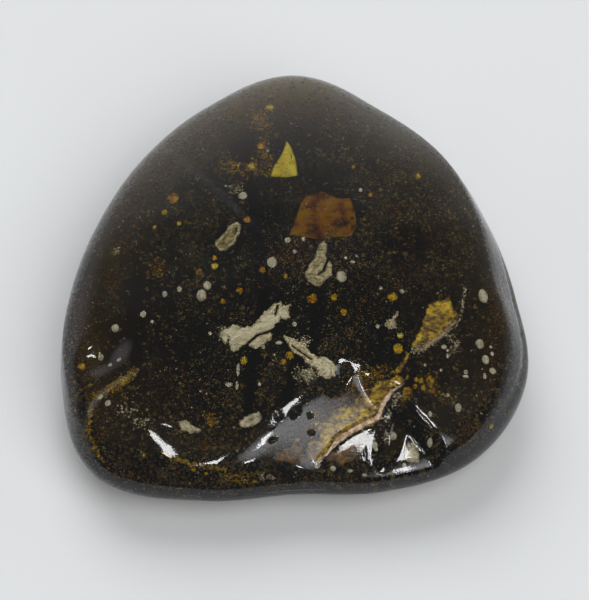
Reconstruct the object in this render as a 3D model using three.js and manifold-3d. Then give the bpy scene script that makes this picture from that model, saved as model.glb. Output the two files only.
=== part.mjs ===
// A polished nugget of very dark amber, with the plant debris that is sealed in it.
// Millimetres, +Z up: X runs to the right of the front view, Y to its back, and the
// origin is the middle of the flat that the stone rests on.
import * as THREE from "three";
import { mergeVertices } from "three/addons/utils/BufferGeometryUtils.js";
import Module from "manifold-3d";

const wasm = await Module();
wasm.setup();

// The outline seen from above: its radius every 22.5 degrees, from +X round by the back
const heart = new THREE.Vector2(-0.03, -2.13);
const outlineRadii = [
  20.3, 19.7, 20.5, 21.7, 24.4, 22.2, 20.4, 19.6,
  20.4, 22.7, 25.1, 21.7, 19.3, 20.7, 22.8, 22.6,
];

// The section: a full crown over a rounder base, undercut down to the flat that it rests on
const crownTop = 12.9;
const crownSag = 0.7;
const backLift = 0.03;
const frontSag = { from: 4, to: -21, drop: 4.4 };
const cutBelowBase = 0.4;
const baseFullness = 2.5;
const skinDetail = 13;

// The edge at the same angles: height of the widest line, squareness of the crown, and the steepness
// of the bevel with the softness of its corner
const edges = [
  { girdle: 5.7, fullness: 3.2, bevel: 58, blend: 0.8 },
  { girdle: 6.0, fullness: 3.0, bevel: 64, blend: 0.8 },
  { girdle: 6.2, fullness: 3.0, bevel: 68, blend: 0.8 },
  { girdle: 6.05, fullness: 3.0, bevel: 72, blend: 0.8 },
  { girdle: 5.8, fullness: 3.0, bevel: 76, blend: 0.8 },
  { girdle: 5.5, fullness: 3.1, bevel: 78, blend: 0.8 },
  { girdle: 5.3, fullness: 3.2, bevel: 80, blend: 0.8 },
  { girdle: 5.35, fullness: 3.4, bevel: 82, blend: 0.8 },
  { girdle: 5.4, fullness: 3.6, bevel: 84, blend: 0.8 },
  { girdle: 5.25, fullness: 4.0, bevel: 78, blend: 0.7 },
  { girdle: 5.0, fullness: 5.0, bevel: 54, blend: 0.5 },
  { girdle: 4.7, fullness: 7.0, bevel: 47, blend: 0.3 },
  { girdle: 4.5, fullness: 8.0, bevel: 50, blend: 0.3 },
  { girdle: 4.7, fullness: 7.0, bevel: 56, blend: 0.4 },
  { girdle: 5.1, fullness: 6.0, bevel: 64, blend: 0.6 },
  { girdle: 5.4, fullness: 4.5, bevel: 61, blend: 0.8 },
];
const bevelRound = 0.9;

// Broad swells and dips of the top face: centre, half-widths, turn of the first one, and rise
const swells = [
  { name: "left dimple", at: [-17.0, -10.4], half: [2.7, 1.9], turn: 30, rise: -1.1 },
  { name: "lower left lobe", at: [-14.0, -16.4], half: [4.2, 3.0], turn: -35, rise: 0.5 },
  { name: "mirror hollow", at: [8.4, -17.8], half: [2.4, 1.0], turn: 72, rise: -0.4 },
  { name: "dip at the end of the twig", at: [3.8, -13.0], half: [1.5, 1.1], turn: 60, rise: -0.25 },
  { name: "back shoulder", at: [9.5, 12.5], half: [9.0, 6.0], turn: -45, rise: 0.3 },
];

// The front facet falls away on the near side of a crease, to a shallow floor
const crease = {
  from: [-4.6, -19.6],
  to: [4.2, -12.2],
  fall: 15,
  depth: 1.15,
  blend: 0.3,
  floorBlend: 0.3,
  fade: 3,
};

// The fold is a low ledge that runs from the dimple to the left rim, its near side the higher
const fold = {
  line: [[-14.0, -12.3], [-15.8, -13.3], [-16.9, -14.0], [-17.9, -14.8], [-18.4, -16.1]],
  step: 0.55,
  edge: 0.25,
  reach: 2.2,
};

// A groove along the right flank
const flankGroove = { angle: -4, halfSpan: 24, height: 6.9, halfWidth: 0.45, depth: 0.22 };

// Small round pits in the facet: place, radii and turn
const pitDetail = 1;
const pits = [
  { at: [-1.4, -16.7], radii: [0.45, 0.4, 0.4], turn: 0 },
  { at: [0.1, -16.3], radii: [0.75, 0.5, 0.45], turn: 50 },
  { at: [1.4, -16.5], radii: [0.3, 0.26, 0.28], turn: 0 },
  { at: [-2.0, -17.5], radii: [0.3, 0.24, 0.25], turn: 60 },
  { at: [-1.9, -18.6], radii: [0.5, 0.28, 0.3], turn: 20 },
];

// The crevice is an open crack that runs up the facet to the hollow
const crevice = {
  line: [
    [2.4, -19.8], [3.4, -19.1], [4.5, -18.4], [5.7, -17.8],
    [7.2, -16.9], [7.9, -15.7], [8.8, -15.1], [9.8, -14.2],
  ],
  halfWidth: 0.22,
  depth: 0.5,
  steps: 14,
};

// The solid is parted along a sheet at an even depth under the skin, through the pockets of the debris.
// From this share of the way to the rim the sheet runs straight on, falling, and out through the flank.
const partingDepth = 0.75;
const partingShare = 0.82;
const partingFall = 0.45;
const partingGap = 0.05;
const partingReach = 1.12;
const partingDetail = 8;
const pocketRoom = 0.16;
const debrisRound = 0.14;

// The debris: the place of its middle, how deep it lies, its thickness, and its outline about that middle
const debris = {
  bark_sliver: {
    at: [-3.7, -8.2],
    depth: 0.7,
    thickness: 0.5,
    colour: "#a89f88",
    outline: [
      [-3.3, -0.8], [-2.2, -0.3], [-1.4, -0.1], [0.0, 0.6], [0.8, 1.6], [1.7, 2.5], [2.5, 2.7],
      [3.3, 2.3], [3.2, 1.1], [2.5, 1.1], [1.9, 0.2], [1.6, -0.9], [1.1, -1.8], [-0.2, -2.3],
      [-1.2, -1.9], [-2.0, -2.6], [-2.5, -1.7],
    ],
  },
  twig_splinter: {
    at: [1.3, -11.0],
    depth: 0.82,
    thickness: 0.55,
    colour: "#a3998a",
    outline: [
      [-2.4, 2.2], [-1.8, 2.4], [-1.1, 1.6], [-0.6, 1.8], [-0.2, 1.4], [-0.2, 0.7], [0.5, 0.0],
      [1.8, -0.4], [2.4, -1.0], [2.2, -1.7], [1.5, -1.9], [0.4, -1.2], [-0.7, -0.3], [-1.6, 0.6], [-2.2, 1.4],
    ],
  },
  husk_curl: {
    at: [2.1, -2.1],
    depth: 0.7,
    thickness: 0.5,
    colour: "#9a917f",
    outline: [
      [0.5, 2.6], [0.9, 1.6], [0.8, 0.4], [1.3, 0.4], [1.4, -0.2], [1.2, -1.0], [0.5, -1.9],
      [-0.2, -2.3], [-0.9, -1.9], [-1.25, -0.9], [-1.1, 0.2], [-0.4, 1.2], [0.1, 2.3],
    ],
  },
  seed_husk: {
    at: [-6.1, 0.8],
    depth: 0.62,
    thickness: 0.5,
    colour: "#8f8a7a",
    outline: [
      [1.4, 1.3], [0.9, 1.5], [0.2, 0.9], [-0.7, 0.0], [-1.4, -0.9], [-1.4, -1.5],
      [-0.9, -1.5], [0.0, -0.8], [0.9, 0.1], [1.4, 0.8],
    ],
  },
  leaf_flake: {
    at: [2.4, 2.8],
    depth: 0.72,
    thickness: 0.34,
    colour: "#8a5212",
    outline: [
      [3.2, 2.3], [1.5, 2.4], [0.5, 2.8], [-0.7, 2.8], [-1.5, 2.0], [-2.2, 0.6], [-2.9, -1.6],
      [-2.5, -2.4], [-0.2, -2.1], [1.0, -2.2], [2.3, -2.0], [3.2, -0.6],
    ],
  },
  pale_chip: {
    at: [8.7, -7.6],
    depth: 0.62,
    thickness: 0.45,
    colour: "#a8a598",
    outline: [
      [-0.55, -0.6], [-0.1, -0.9], [0.35, -0.5], [0.35, 0.2], [0.95, 1.4], [0.6, 1.4], [-0.1, 0.4], [-0.6, 0.2],
    ],
  },
  left_crumb: {
    at: [-9.3, -17.1],
    depth: 0.66,
    thickness: 0.45,
    colour: "#a79c88",
    outline: [[-1.0, 0.45], [-0.3, 0.6], [0.4, 0.1], [1.1, -0.3], [0.9, -0.6], [0.1, -0.55], [-0.8, -0.35]],
  },
  middle_crumb: {
    at: [-3.9, -16.6],
    depth: 0.66,
    thickness: 0.45,
    colour: "#8f8574",
    outline: [
      [-1.0, -0.5], [-0.3, -0.6], [0.6, -0.4], [1.1, 0.2], [0.7, 0.7], [0.0, 0.5], [-0.5, 0.2], [-0.9, 0.0],
    ],
  },
  front_crumb: {
    at: [10.4, -18.5],
    depth: 0.75,
    thickness: 0.45,
    colour: "#9b8a5e",
    outline: [[-0.5, -0.8], [0.1, -0.9], [0.6, -0.5], [0.7, 0.3], [0.3, 0.8], [-0.3, 0.6], [-0.7, 0.0]],
  },
};

const TURN = 2 * Math.PI;
const rad = THREE.MathUtils.degToRad;

// A closed curve through values given at even angles, read back at any angle
function ring(values) {
  const places = values.map((value) => new THREE.Vector3(value, 0, 0));
  const curve = new THREE.CatmullRomCurve3(places, true, "catmullrom");
  return (angle) => curve.getPoint(THREE.MathUtils.euclideanModulo(angle / TURN, 1)).x;
}

const outlineRadius = ring(outlineRadii);
const girdleHeight = ring(edges.map((edge) => edge.girdle));
const crownFullness = ring(edges.map((edge) => edge.fullness));
const bevelSteepness = ring(edges.map((edge) => edge.bevel));
const bevelBlend = ring(edges.map((edge) => edge.blend));

// The lower of two heights, with the corner between them rounded over the blend
function softMin(a, b, blend) {
  const share = THREE.MathUtils.clamp(0.5 + (0.5 * (b - a)) / blend, 0, 1);
  return THREE.MathUtils.lerp(b, a, share) - blend * share * (1 - share);
}

// 1 in the middle of a swell, falling smoothly to 0 at its rim
function swellShare({ at, half, turn }, x, y) {
  const cos = Math.cos(rad(turn));
  const sin = Math.sin(rad(turn));
  const along = ((x - at[0]) * cos + (y - at[1]) * sin) / half[0];
  const across = ((y - at[1]) * cos - (x - at[0]) * sin) / half[1];
  return Math.max(0, 1 - (along ** 2 + across ** 2) / 2) ** 3;
}

// The nearest place on a line: its distance, below zero on the line's right, and its share of the way
function fromLine(line, x, y) {
  const place = new THREE.Vector2(x, y);
  let nearest = { distance: Infinity, share: 0 };
  for (let i = 0; i < line.length - 1; i++) {
    const start = new THREE.Vector2(...line[i]);
    const run = new THREE.Vector2(...line[i + 1]).sub(start);
    const offset = place.clone().sub(start);
    const along = THREE.MathUtils.clamp(offset.dot(run) / run.lengthSq(), 0, 1);
    const distance = offset.distanceTo(run.clone().multiplyScalar(along));
    if (distance < Math.abs(nearest.distance)) {
      const side = run.cross(offset) < 0 ? -1 : 1;
      nearest = { distance: distance * side, share: (i + along) / (line.length - 1) };
    }
  }
  return nearest;
}

// The near side of the fold stands up and its far side sinks, both fading away from the line
function foldStep(x, y) {
  const { distance, share } = fromLine(fold.line, x, y);
  const ends = Math.sin(Math.PI * THREE.MathUtils.lerp(0.15, 0.95, share));
  const fade = Math.exp(-((distance / fold.reach) ** 2));
  return 0.5 * fold.step * Math.tanh(distance / fold.edge) * fade * ends;
}

// How far the facet lies below the rest of the top face
function facetDrop(x, y) {
  const start = new THREE.Vector2(...crease.from);
  const run = new THREE.Vector2(...crease.to).sub(start);
  const offset = new THREE.Vector2(x, y).sub(start);
  const length = run.length();
  const along = offset.dot(run) / length;
  const near = -run.cross(offset) / length;
  const fade = THREE.MathUtils.smoothstep(length + crease.fade - along, 0, crease.fade);
  const fall = -softMin(0, -near * Math.tan(rad(crease.fall)) * fade, crease.blend);
  return softMin(fall, crease.depth, crease.floorBlend);
}

// The height of the top face, before its edge rolls over
function topFace(x, y) {
  const front = Math.max(0, (frontSag.from - y) / (frontSag.from - frontSag.to));
  const middle = Math.hypot(x, y - heart.y) / outlineRadii[0];
  let z = crownTop - crownSag * middle ** 2 + backLift * y - frontSag.drop * front ** 2;
  z += foldStep(x, y) - facetDrop(x, y);
  for (const swell of swells) z += swell.rise * swellShare(swell, x, y);
  return z;
}

// The height of the skin over a place, from the girdle up
function crownHeight(x, y) {
  const angle = Math.atan2(y - heart.y, x - heart.x);
  const radius = outlineRadius(angle);
  const inward = Math.max(0, radius - Math.hypot(x - heart.x, y - heart.y));
  const girdle = girdleHeight(angle);
  const fullness = crownFullness(angle);
  const roll = (1 - (1 - inward / radius) ** fullness) ** (1 / fullness);
  const slope = inward * Math.tan(rad(bevelSteepness(angle)));
  const bevel = Math.sqrt(slope * (slope + 2 * bevelRound));
  return girdle + softMin((topFace(x, y) - girdle) * roll, bevel, bevelBlend(angle) * roll + 1e-6);
}

// Where a place on the unit ball comes to lie on the skin of the stone
function skinPoint(ball) {
  const across = Math.hypot(ball.x, ball.y);
  const rise = Math.abs(ball.z);
  const angle = Math.atan2(ball.y, ball.x);
  const girdle = girdleHeight(angle);
  const fullness = ball.z > 0 ? crownFullness(angle) : baseFullness;
  const stretch = (across ** fullness + rise ** fullness) ** (-1 / fullness);
  const reach = outlineRadius(angle) * across * stretch;
  const point = new THREE.Vector3(reach * Math.cos(angle), reach * Math.sin(angle), 0);
  const base = Math.max(0, girdle - (girdle + cutBelowBase) * rise * stretch);
  point.z = ball.z > 0 ? crownHeight(point.x + heart.x, point.y + heart.y) : base;
  const turned = (THREE.MathUtils.radToDeg(angle) - flankGroove.angle) / flankGroove.halfSpan;
  const lifted = (point.z - flankGroove.height) / flankGroove.halfWidth;
  const groove = flankGroove.depth * Math.exp(-(turned ** 2) - lifted ** 2);
  point.setX(point.x * (1 - groove / outlineRadii[0]) + heart.x);
  point.setY(point.y * (1 - groove / outlineRadii[0]) + heart.y);
  return point;
}

// A closed geometry as a solid that can be joined and cut
function solidOf(geometry) {
  const bare = geometry.clone();
  bare.deleteAttribute("normal");
  bare.deleteAttribute("uv");
  const merged = mergeVertices(bare, 1e-4);
  return new wasm.Manifold(
    new wasm.Mesh({
      numProp: 3,
      vertProperties: new Float32Array(merged.attributes.position.array),
      triVerts: new Uint32Array(merged.index.array),
    }),
  );
}

function geometryOf(solid) {
  const { vertProperties, triVerts } = solid.getMesh();
  const geometry = new THREE.BufferGeometry();
  geometry.setAttribute("position", new THREE.BufferAttribute(vertProperties, 3));
  geometry.setIndex(new THREE.BufferAttribute(triVerts, 1));
  geometry.computeVertexNormals();
  return geometry;
}

// Moves each vertex of a geometry to where the given function puts it
function reshape(geometry, place) {
  const positions = geometry.attributes.position;
  const point = new THREE.Vector3();
  for (let i = 0; i < positions.count; i++) {
    place(point.fromBufferAttribute(positions, i));
    positions.setXYZ(i, point.x, point.y, point.z);
  }
  return geometry;
}

function skin() {
  const ball = new THREE.IcosahedronGeometry(1, skinDetail);
  return solidOf(reshape(ball, (point) => point.copy(skinPoint(point.normalize()))));
}

// The direction that faces straight out of the top face at a place
function outwards(x, y) {
  const step = 0.5;
  const east = crownHeight(x + step, y) - crownHeight(x - step, y);
  const north = crownHeight(x, y + step) - crownHeight(x, y - step);
  return new THREE.Vector3(-east, -north, 2 * step).normalize();
}

function pitCutter({ at, radii, turn }) {
  const cutter = new THREE.IcosahedronGeometry(1, pitDetail);
  cutter.scale(...radii).rotateZ(rad(turn));
  return solidOf(cutter.translate(at[0], at[1], crownHeight(...at)));
}

// A ribbon of box sections along the crevice, sharp at its bottom and at both ends
function creviceCutter() {
  const course = new THREE.CatmullRomCurve3(crevice.line.map(([x, y]) => new THREE.Vector3(x, y, 0)));
  const cutter = new THREE.BoxGeometry(1, 1, 1, crevice.steps, 1, 1);
  return solidOf(
    reshape(cutter, (point) => {
      const share = point.x + 0.5;
      const openness = Math.sin(Math.PI * THREE.MathUtils.lerp(0.06, 0.94, share));
      const narrowed = point.z > 0 ? 1 : 0.2;
      const sideways = 2 * point.y * crevice.halfWidth * openness * narrowed;
      const lift = point.z > 0 ? crevice.depth : -crevice.depth * openness;
      const ahead = course.getTangent(share);
      const place = course.getPoint(share);
      point.set(place.x - ahead.y * sideways, place.y + ahead.x * sideways, 0);
      point.z = crownHeight(place.x, place.y) + lift;
    }),
  );
}

// All the space below the sheet that parts the solid, moved up or down by the given shift
function belowParting(shift) {
  const space = new THREE.IcosahedronGeometry(1, partingDetail);
  return solidOf(
    reshape(space, (point) => {
      const angle = Math.atan2(point.y, point.x);
      const radius = outlineRadius(angle);
      const reach = (radius * partingReach * Math.acos(Math.min(1, Math.abs(point.z)))) / (Math.PI / 2);
      const followed = Math.min(reach, radius * partingShare);
      const cos = Math.cos(angle);
      const sin = Math.sin(angle);
      const skinHeight = crownHeight(heart.x + followed * cos, heart.y + followed * sin);
      const sheet = skinHeight - partingDepth - partingFall * (reach - followed) + shift;
      point.set(heart.x + reach * cos, heart.y + reach * sin, point.z > -1e-6 ? sheet : -crownTop);
    }),
  );
}

// A flat chip with rounded edges, lying parallel to the skin above it, or its pocket with room round it
function chip({ at, depth, thickness, outline }, room) {
  const shape = new THREE.Shape(outline.map(([x, y]) => new THREE.Vector2(x, y)));
  const geometry = new THREE.ExtrudeGeometry(shape, {
    depth: thickness + 2 * room - 2 * debrisRound,
    bevelThickness: debrisRound,
    bevelSize: debrisRound,
    bevelOffset: room - debrisRound,
    bevelSegments: 1,
  });
  geometry.translate(0, 0, debrisRound - room - thickness / 2);
  const up = new THREE.Vector3(0, 0, 1);
  geometry.applyQuaternion(new THREE.Quaternion().setFromUnitVectors(up, outwards(...at)));
  return geometry.translate(at[0], at[1], crownHeight(...at) - depth);
}

const amberFinish = { color: "#2b2415", roughness: 0.08, metalness: 0 };
const stone = new THREE.Group();

function addPiece(name, geometry, finish) {
  const piece = new THREE.Mesh(geometry, new THREE.MeshStandardMaterial(finish));
  piece.name = name;
  stone.add(piece);
}

let whole = skin().subtract(creviceCutter());
for (const pit of pits) whole = whole.subtract(pitCutter(pit));
for (const piece of Object.values(debris)) whole = whole.subtract(solidOf(chip(piece, pocketRoom)));
addPiece("amber_upper", geometryOf(whole.subtract(belowParting(partingGap / 2))), amberFinish);
addPiece("amber_lower", geometryOf(whole.intersect(belowParting(-partingGap / 2))), amberFinish);
for (const [name, piece] of Object.entries(debris))
  addPiece(name, chip(piece, 0), { color: piece.colour, roughness: 0.85, metalness: 0 });

export default stone;
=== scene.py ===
# A polished nugget of very dark amber, with plant debris, golden fractures and fine grains sealed in it
import math

import bmesh
import bpy
import numpy as np
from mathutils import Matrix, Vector


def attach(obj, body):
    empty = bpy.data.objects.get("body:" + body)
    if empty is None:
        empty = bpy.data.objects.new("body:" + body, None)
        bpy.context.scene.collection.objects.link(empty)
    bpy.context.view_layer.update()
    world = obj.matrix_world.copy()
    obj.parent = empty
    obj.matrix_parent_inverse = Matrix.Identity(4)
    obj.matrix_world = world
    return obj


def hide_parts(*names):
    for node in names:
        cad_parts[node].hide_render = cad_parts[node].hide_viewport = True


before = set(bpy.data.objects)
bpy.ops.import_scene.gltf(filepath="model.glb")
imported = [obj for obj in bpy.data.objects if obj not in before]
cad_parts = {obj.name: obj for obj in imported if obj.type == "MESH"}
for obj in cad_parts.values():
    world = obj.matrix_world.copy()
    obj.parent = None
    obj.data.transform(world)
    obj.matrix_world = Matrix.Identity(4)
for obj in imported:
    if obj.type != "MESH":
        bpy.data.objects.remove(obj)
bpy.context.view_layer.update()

mm = 0.001               # sizes below are in millimetres


def hexToLinear(code):
    parts = [int(code[i:i + 2], 16) / 255 for i in (1, 3, 5)]
    linear = [c / 12.92 if c <= 0.04045 else ((c + 0.055) / 1.055) ** 2.4 for c in parts]
    return (*linear, 1.0)


def addNode(tree, kind, settings=None, links=None):
    node = tree.nodes.new(kind)
    for key, value in (settings or {}).items():
        if key == "stops":
            while len(node.color_ramp.elements) < len(value):
                node.color_ramp.elements.new(1.0)
            for element, (place, colour) in zip(node.color_ramp.elements, value):
                element.position, element.color = place, hexToLinear(colour)
        elif isinstance(key, int) or key in node.inputs:
            node.inputs[key].default_value = value
        else:
            setattr(node, key, value)
    for key, source in (links or {}).items():
        tree.links.new(source, node.inputs[key])
    return node


def newMaterial(name):
    material = bpy.data.materials.new(name)
    material.use_nodes = True
    material.node_tree.nodes.clear()
    return material, material.node_tree


def newMesh(name, vertices, faces, material, smooth=True):
    mesh = bpy.data.meshes.new(name)
    mesh.from_pydata([tuple(v * mm for v in vertex) for vertex in vertices], [], faces)
    mesh.validate()
    mesh.polygons.foreach_set("use_smooth", [smooth] * len(mesh.polygons))
    mesh.materials.append(material)
    piece = bpy.data.objects.new(name, mesh)
    bpy.context.collection.objects.link(piece)
    return piece


# The form of the stone, from the same sizes as the CAD model: heights of the crown over each place
form = {
    "heart": (-0.03, -2.13),
    "outline": [20.3, 19.7, 20.5, 21.7, 24.4, 22.2, 20.4, 19.6,
                20.4, 22.7, 25.1, 21.7, 19.3, 20.7, 22.8, 22.6],
    # the edge every 22.5 degrees: height of the widest line, squareness, steepness and softness of the bevel
    "girdle": [5.7, 6.0, 6.2, 6.05, 5.8, 5.5, 5.3, 5.35, 5.4, 5.25, 5.0, 4.7, 4.5, 4.7, 5.1, 5.4],
    "fullness": [3.2, 3.0, 3.0, 3.0, 3.0, 3.1, 3.2, 3.4, 3.6, 4.0, 5.0, 7.0, 8.0, 7.0, 6.0, 4.5],
    "bevel": [58, 64, 68, 72, 76, 78, 80, 82, 84, 78, 54, 47, 50, 56, 64, 61],
    "blend": [0.8, 0.8, 0.8, 0.8, 0.8, 0.8, 0.8, 0.8, 0.8, 0.7, 0.5, 0.3, 0.3, 0.4, 0.6, 0.8],
    "bevelRound": 0.9,
    "crownTop": 12.9, "crownSag": 0.7, "backLift": 0.03, "frontSag": (4, -21, 4.4),
    "cutBelowBase": 0.4, "baseFullness": 2.5,
    "crease": {"from": (-4.6, -19.6), "to": (4.2, -12.2), "fall": 15, "depth": 1.15, "blend": 0.3,
               "floorBlend": 0.3, "fade": 3},
    "fold": {"line": [(-14.0, -12.3), (-15.8, -13.3), (-16.9, -14.0), (-17.9, -14.8), (-18.4, -16.1)],
             "step": 0.55, "edge": 0.25, "reach": 2.2, "wave": (0.15, 0.95)},
    "groove": {"angle": -4, "halfSpan": 24, "height": 6.9, "halfWidth": 0.45, "depth": 0.22},
    # centre x, y, half-widths, turn in degrees, rise
    "swells": [
        (-17.0, -10.4, 2.7, 1.9, 30, -1.1),
        (-14.0, -16.4, 4.2, 3.0, -35, 0.5),
        (8.4, -17.8, 2.4, 1.0, 72, -0.4),
        (3.8, -13.0, 1.5, 1.1, 60, -0.25),
        (9.5, 12.5, 9.0, 6.0, -45, 0.3),
    ],
}


# A closed smooth curve through values given at even angles, read at any angle
def ring(values, angle):
    values = np.asarray(values, float)
    count = len(values)
    step = np.mod(angle, 2 * math.pi) / (2 * math.pi) * count
    first = np.floor(step).astype(int)
    t = step - first
    a, b, c, d = (values[(first + k) % count] for k in (-1, 0, 1, 2))
    bend, twist = 2 * a - 5 * b + 4 * c - d, 3 * b - a - 3 * c + d
    return 0.5 * (2 * b + (c - a) * t + bend * t ** 2 + twist * t ** 3)


# The lower of two heights, with the corner between them rounded over the blend
def softMin(a, b, blend):
    share = np.clip(0.5 + 0.5 * (b - a) / blend, 0, 1)
    return b + (a - b) * share - blend * share * (1 - share)


def smoothStep(x, low, high):
    t = np.clip((x - low) / (high - low), 0, 1)
    return t * t * (3 - 2 * t)


def between(limits, share):
    return limits[0] + (limits[1] - limits[0]) * share


# Squared distance from the middle of an ellipse, 1 on its outline
def ellipseShare(x, y, centreX, centreY, halfLong, halfWide, turn):
    cos, sin = math.cos(math.radians(turn)), math.sin(math.radians(turn))
    along = ((x - centreX) * cos + (y - centreY) * sin) / halfLong
    across = ((y - centreY) * cos - (x - centreX) * sin) / halfWide
    return along ** 2 + across ** 2


# The nearest place on a line: its distance, below zero on the line's right, and its share of the way
def fromLine(line, x, y):
    distance = np.full(np.shape(x), np.inf)
    share = np.zeros(np.shape(x))
    for i, ((ax, ay), (bx, by)) in enumerate(zip(line, line[1:])):
        runX, runY = bx - ax, by - ay
        along = np.clip(((x - ax) * runX + (y - ay) * runY) / (runX ** 2 + runY ** 2), 0, 1)
        away = np.hypot(x - ax - along * runX, y - ay - along * runY)
        side = np.where(runX * (y - ay) - runY * (x - ax) < 0, -1, 1)
        closer = away < np.abs(distance)
        distance = np.where(closer, away * side, distance)
        share = np.where(closer, (i + along) / (len(line) - 1), share)
    return distance, share


# The height of the top face, before its edge rolls over
def topFace(x, y):
    start, end, drop = form["frontSag"]
    front = np.maximum(0, (start - y) / (start - end))
    middle = np.hypot(x, y - form["heart"][1]) / form["outline"][0]
    z = form["crownTop"] - form["crownSag"] * middle ** 2 + form["backLift"] * y - drop * front ** 2
    crease = form["crease"]
    runX, runY = (crease["to"][k] - crease["from"][k] for k in (0, 1))
    length = math.hypot(runX, runY)
    offX, offY = x - crease["from"][0], y - crease["from"][1]
    along = (offX * runX + offY * runY) / length
    near = (offX * runY - offY * runX) / length
    fade = smoothStep(length + crease["fade"] - along, 0, crease["fade"])
    fall = -softMin(0 * near, -near * math.tan(math.radians(crease["fall"])) * fade, crease["blend"])
    z = z - softMin(fall, crease["depth"] + 0 * fall, crease["floorBlend"])
    fold = form["fold"]
    distance, share = fromLine(fold["line"], x, y)
    ends = np.sin(math.pi * between(fold["wave"], share))
    closeness = np.exp(-(distance / fold["reach"]) ** 2)
    z = z + 0.5 * fold["step"] * np.tanh(distance / fold["edge"]) * closeness * ends
    for *place, rise in form["swells"]:
        z = z + rise * np.maximum(0, 1 - ellipseShare(x, y, *place) / 2) ** 3
    return z


# The height of the skin over a place, from the girdle up
def crownHeight(x, y):
    x, y = np.asarray(x, float), np.asarray(y, float)
    offX, offY = x - form["heart"][0], y - form["heart"][1]
    angle = np.arctan2(offY, offX)
    radius = ring(form["outline"], angle)
    inward = np.maximum(0, radius - np.hypot(offX, offY))
    girdle = ring(form["girdle"], angle)
    fullness = ring(form["fullness"], angle)
    roll = (1 - (1 - inward / radius) ** fullness) ** (1 / fullness)
    slope = inward * np.tan(np.radians(ring(form["bevel"], angle)))
    bevel = np.sqrt(slope * (slope + 2 * form["bevelRound"]))
    return girdle + softMin((topFace(x, y) - girdle) * roll, bevel, ring(form["blend"], angle) * roll + 1e-6)


# Where places on the unit ball come to lie on the skin of the stone
def skinPoints(ball):
    across, rise = np.hypot(ball[:, 0], ball[:, 1]), np.abs(ball[:, 2])
    angle = np.arctan2(ball[:, 1], ball[:, 0])
    girdle = ring(form["girdle"], angle)
    fullness = np.where(ball[:, 2] > 0, ring(form["fullness"], angle), form["baseFullness"])
    stretch = (across ** fullness + rise ** fullness) ** (-1 / fullness)
    reach = ring(form["outline"], angle) * across * stretch
    x, y = reach * np.cos(angle), reach * np.sin(angle)
    base = np.maximum(0, girdle - (girdle + form["cutBelowBase"]) * rise * stretch)
    crown = crownHeight(x + form["heart"][0], y + form["heart"][1])
    z = np.where(ball[:, 2] > 0, crown, base)
    groove = form["groove"]
    turned = (np.degrees(angle) - groove["angle"]) / groove["halfSpan"]
    lifted = (z - groove["height"]) / groove["halfWidth"]
    narrowed = 1 - groove["depth"] * np.exp(-turned ** 2 - lifted ** 2) / form["outline"][0]
    return np.stack([x * narrowed + form["heart"][0], y * narrowed + form["heart"][1], z], 1)


# The height of the undercut base over each place
def baseHeight(x, y):
    offX, offY = x - form["heart"][0], y - form["heart"][1]
    angle = np.arctan2(offY, offX)
    share = np.clip(np.hypot(offX, offY) / ring(form["outline"], angle), 0, 1)
    girdle = ring(form["girdle"], angle)
    curve = (1 - share ** form["baseFullness"]) ** (1 / form["baseFullness"])
    return np.maximum(0, girdle - (girdle + form["cutBelowBase"]) * curve)


# The slopes of the skin to the east and to the north
def skinSlopes(x, y):
    reach = 0.3
    east = (crownHeight(x + reach, y) - crownHeight(x - reach, y)) / (2 * reach)
    north = (crownHeight(x, y + reach) - crownHeight(x, y - reach)) / (2 * reach)
    return east, north


# Factors that give each corner of a grid a value of its own
cornerFactors = {"across": 127.1, "up": 311.7, "seed": 74.7, "octave": 19.3, "spread": 43758.5453}


# Soft patches between 0 and 1, each octave half the size of the one before
def mottle(x, y, size, seed, octaves=3):
    factors = cornerFactors
    total, weight = 0, 0
    for octave in range(octaves):
        u, v = x / size * 2 ** octave, y / size * 2 ** octave
        i, j = np.floor(u), np.floor(v)
        fu, fv = smoothStep(u - i, 0, 1), smoothStep(v - j, 0, 1)
        corners = []
        for a, b in ((0, 0), (1, 0), (0, 1), (1, 1)):
            n = np.sin((i + a) * factors["across"] + (j + b) * factors["up"] + seed * factors["seed"]
                       + octave * factors["octave"]) * factors["spread"]
            corners.append(n - np.floor(n))
        low = corners[0] + (corners[1] - corners[0]) * fu
        high = corners[2] + (corners[3] - corners[2]) * fu
        total = total + (low + (high - low) * fv) * 0.5 ** octave
        weight += 0.5 ** octave
    return total / weight


# How far a place lies inside a closed outline, below zero outside it
def insideDistance(outline, x, y):
    away = np.full(np.shape(x), np.inf)
    inside = np.zeros(np.shape(x), bool)
    for (ax, ay), (bx, by) in zip(outline, outline[1:] + outline[:1]):
        runX, runY = bx - ax, by - ay
        along = np.clip(((x - ax) * runX + (y - ay) * runY) / (runX ** 2 + runY ** 2), 0, 1)
        away = np.minimum(away, np.hypot(x - ax - along * runX, y - ay - along * runY))
        if runY:
            inside ^= ((ay > y) != (by > y)) & (x < ax + runX * (y - ay) / runY)
    return np.where(inside, away, -away)


flakeLeastSlope = 0.3      # keeps the rim in place where the distance to the edge hardly changes


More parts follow.
